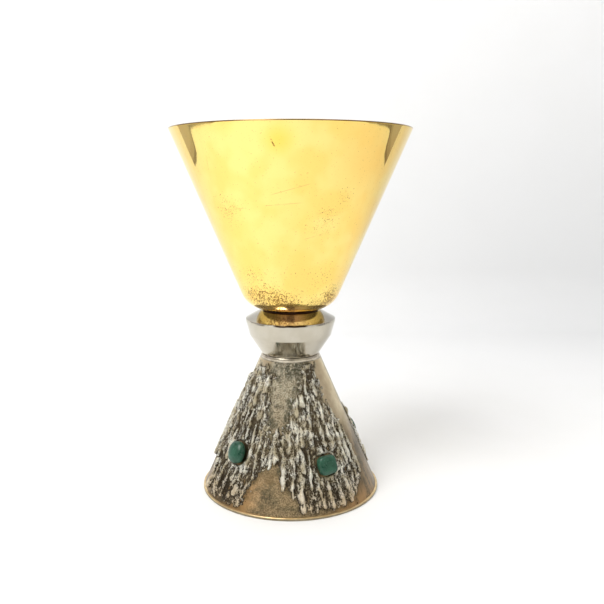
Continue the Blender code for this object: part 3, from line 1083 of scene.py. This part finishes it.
def ring_material():
    s = Surface("worn_gilding", Metallic=1.0)
    cloud = s.noise(4, detail=4)
    # Painted shade: the ring is darker in its lowest millimetre, where it sits on the paper.
    lower = s.between(s.height(), 1.15 * MM, 0.75 * MM)
    gold = s.mix(s.between(cloud, 0.35, 0.65), (0.76, 0.59, 0.33), (0.60, 0.44, 0.23))
    s.drive("Base Color", s.mix(s.times(lower, 0.8), gold, (0.30, 0.27, 0.20)))
    s.drive("Roughness", s.between(cloud, 0.3, 0.7, 0.30, 0.42))
    s.bump(s.noise(1.2), 0.03 * MM, 0.6)
    return s.material


def brass_material():
    s = Surface("turned_brass", Metallic=1.0)
    cloud = s.noise(3, detail=4)
    s.drive("Base Color", s.mix(s.between(cloud, 0.35, 0.65), (0.74, 0.53, 0.24), (0.60, 0.42, 0.18)))
    turning = s.noise(1.5, stretch=(0.2, 0.2, 12))
    s.drive("Roughness", s.between(turning, 0.3, 0.7, 0.22, 0.38))
    s.bump(turning, 0.015 * MM, 0.6)
    return s.material


def leather_material():
    s = Surface("waxed_leather", Specular_IOR_Level=0.35)
    pores = s.cells(0.5)
    cloud = s.noise(2, detail=4)
    s.drive("Base Color", s.mix(s.between(cloud, 0.3, 0.7), (0.06, 0.020, 0.010), (0.11, 0.045, 0.024)))
    s.drive("Roughness", s.between(pores, 0.1, 0.6, 0.75, 0.55))
    s.bump(pores, 0.08 * MM, 0.7)
    return s.material


def stone_material():
    """Polished green aventurine: cloudy, with finer pale and dark flecks."""
    s = Surface(
        "green_aventurine",
        Coat_Weight=0.3,
        Coat_Roughness=0.03,
        Specular_IOR_Level=0.3,
        Subsurface_Weight=0.25,
        Subsurface_Scale=1.2 * MM,
        Subsurface_Radius=(0.25, 1.0, 0.7),
    )
    cloud = s.noise(4, detail=4, roughness=0.6)
    fleck = s.noise(0.5, detail=2)
    body = s.mix(s.between(cloud, 0.35, 0.65), (0.013, 0.063, 0.037), (0.025, 0.102, 0.061))
    body = s.mix(s.between(fleck, 0.62, 0.74, 0.0, 0.55), body, (0.10, 0.30, 0.20))
    s.drive("Base Color", s.mix(s.between(fleck, 0.38, 0.28, 0.0, 0.6), body, (0.004, 0.04, 0.025)))
    s.drive("Roughness", s.between(cloud, 0.3, 0.7, 0.26, 0.40))
    s.bump(s.noise(1.3), 0.02 * MM, 0.5)
    return s.material


# The studio ----------

SWEEP_START = 0.36
SWEEP_RADIUS = 0.06
SWEEP_STEPS = 16
PAPER_REACH = 1.6  # to each side, and to the front
PAPER_HEIGHT = 1.4
ROOM_SIDE = (1.0, 0.95, 0.98)
ROOM_FRONT = (1.0, 0.95, 0.82)
# Floor points in mm where the room begins beyond the paper, as the gilding shows it
LEFT_EDGE = (
    (-339, -89), (-373, -50), (-401, -10), (-432, 39), (-454, 79), (-473, 118),
    (-477, 136), (-467, 143), (-450, 145), (-433, 158), (-435, 213), (-451, 306),
)
RIGHT_EDGE = (
    (340, -88), (375, -46), (422, 25), (444, 63), (465, 107),
    (471, 130), (463, 145), (446, 151), (434, 169), (436, 258),
)
FRONT_LEFT = (LEFT_EDGE[0], (-550, -300), (-500, -600), (-200, -750))
PHOTOGRAPHER = ((-200, -750), (200, -750))
FRONT_RIGHT = ((200, -750), (500, -600), (550, -300), RIGHT_EDGE[0])
WALL_LEVELS = (0, 8, 20, 1000)  # mm; a wall's strips end at these heights
SKY = ((0.10, 0.9), (0.30, 0.50), (0.6, 0.34))  # (upwardness, brightness)

CAMERA_PLACE = (0, -0.3482, 0.1532)
CAMERA_TILT = 9.6  # degrees down
CAMERA_LENS = 42.35
CAMERA_SHIFT = 0.019


def add_stage(name, verts, faces, material):
    obj = add_mesh(name, verts, faces, material)
    return obj


def glow_material(name, colour, strength):
    material = bpy.data.materials.new(name)
    material.use_nodes = True
    tree = material.node_tree
    tree.nodes.clear()
    emission = tree.nodes.new("ShaderNodeEmission")
    emission.inputs["Color"].default_value = (*colour, 1)
    emission.inputs["Strength"].default_value = strength
    output = tree.nodes.new("ShaderNodeOutputMaterial")
    tree.links.new(emission.outputs["Emission"], output.inputs["Surface"])
    return material


def build_floor():
    """A sheet of white paper that lies flat and then curves up behind the chalice."""
    paper = Surface("white_paper", Roughness=0.9, Specular_IOR_Level=0.15)
    tone = paper.noise(60, detail=2)
    share = paper.between(tone, 0.3, 0.7)
    sheet = paper.mix(share, (0.90, 0.90, 0.895), (0.915, 0.915, 0.915))
    shaded = paper.near((0.30, 0.40, 0.02), 0.45)
    paper.drive("Base Color", paper.mix(shaded, sheet, (0.80, 0.805, 0.81)))
    profile = [(-PAPER_REACH, 0), (SWEEP_START, 0)]
    for step in range(1, SWEEP_STEPS + 1):
        turn = pi / 2 * step / SWEEP_STEPS
        profile.append((SWEEP_START + SWEEP_RADIUS * sin(turn), SWEEP_RADIUS * (1 - cos(turn))))
    profile.append((SWEEP_START + SWEEP_RADIUS, PAPER_HEIGHT))
    verts = [(side * PAPER_REACH, y, z) for y, z in profile for side in (-1, 1)]
    faces = [[2 * i, 2 * i + 1, 2 * i + 3, 2 * i + 2] for i in range(len(profile) - 1)]
    sweep = add_stage("paper_sweep", verts, faces, paper.material)
    sweep.data.shade_smooth()


def only_in_reflections(obj):
    for ray in ("camera", "diffuse", "shadow", "transmission", "volume_scatter"):
        setattr(obj, f"visible_{ray}", False)


def build_wall(name, line, colour, strengths):
    """An upright board along floor points, seen only in the metal: dimmer at its foot."""
    for level, strength in enumerate(strengths):
        ends = WALL_LEVELS[level : level + 2]
        verts = [(x * MM, y * MM, z * MM) for z in ends for x, y in line]
        count = len(line)
        faces = [[i, i + 1, i + 1 + count, i + count] for i in range(count - 1)]
        shade = glow_material(f"{name}_shade_{level}", colour, strength)
        only_in_reflections(add_stage(f"{name}_{level}", verts, faces, shade))


def build_room():
    """The dim room beyond the paper's edges: its sides, its front and the photographer."""
    build_wall("room_left", LEFT_EDGE, ROOM_SIDE, (0.31, 0.50, 0.57))
    build_wall("room_right", RIGHT_EDGE, ROOM_SIDE, (0.25, 0.37, 0.46))
    build_wall("room_front_left", FRONT_LEFT, ROOM_FRONT, (0.32, 0.34, 0.40))
    build_wall("photographer", PHOTOGRAPHER, ROOM_FRONT, (0.10, 0.10, 0.16))
    build_wall("room_front_right", FRONT_RIGHT, ROOM_FRONT, (0.45, 0.50, 0.58))


def area_light(name, place, target, size, power):
    data = bpy.data.lights.new(name, "AREA")
    data.energy = power
    data.size = size
    lamp = add_object(name, data)
    lamp.location = place
    aim = Vector(target) - Vector(place)
    lamp.rotation_euler = aim.to_track_quat("-Z", "Y").to_euler()


def build_world():
    """A pale room that gets dimmer towards its ceiling."""
    world = bpy.data.worlds.new("studio")
    bpy.context.scene.world = world
    world.use_nodes = True
    tree = world.node_tree
    ground = tree.nodes["Background"]
    place = tree.nodes.new("ShaderNodeTexCoord")
    split = tree.nodes.new("ShaderNodeSeparateXYZ")
    tree.links.new(place.outputs["Generated"], split.inputs["Vector"])
    shade = tree.nodes.new("ShaderNodeValToRGB")
    tree.links.new(split.outputs["Z"], shade.inputs["Fac"])
    stops = shade.color_ramp.elements
    stops[0].position, stops[0].color = 0.0, (0.95, 0.95, 0.95, 1)
    stops[1].position, stops[1].color = 1.0, (0.3, 0.295, 0.29, 1)
    for position, value in SKY:
        stop = stops.new(position)
        stop.color = (value, value * 0.99, value * 0.97, 1)
    tree.links.new(shade.outputs["Color"], ground.inputs["Color"])


def build_lights():
    area_light("key", (-0.37, -0.40, 0.80), (0, 0, 0.03), size=0.50, power=6.1)
    area_light("overhead", (0.1, 0.0, 1.2), (0, 0, 0), size=1.0, power=4.5)


def build_camera():
    data = bpy.data.cameras.new("camera")
    data.sensor_width = 36
    data.lens = CAMERA_LENS
    data.shift_x = CAMERA_SHIFT
    camera = add_object("camera", data)
    camera.location = CAMERA_PLACE
    camera.rotation_euler = (radians(90 - CAMERA_TILT), 0, 0)
    bpy.context.scene.camera = camera
    bpy.context.scene.view_settings.view_transform = "Standard"


def build():
    gilt, nickel, brass = gilt_material(), nickel_material(), brass_material()
    bronze, bark, green = foot_material(), relief_material(), stone_material()
    build_cup(gilt)
    build_boss(brass)
    build_rod(brass)
    build_washer(leather_material())
    build_knop(nickel)
    build_plug(collar_material())
    build_nut(brass)
    build_ring(ring_material())
    build_cone(bronze)
    for number, panel in enumerate(PANELS, start=1):
        build_relief(number, panel, bark)
        build_stone(number, panel, green)
    build_floor()
    build_room()
    build_world()
    build_lights()
    build_camera()


build()
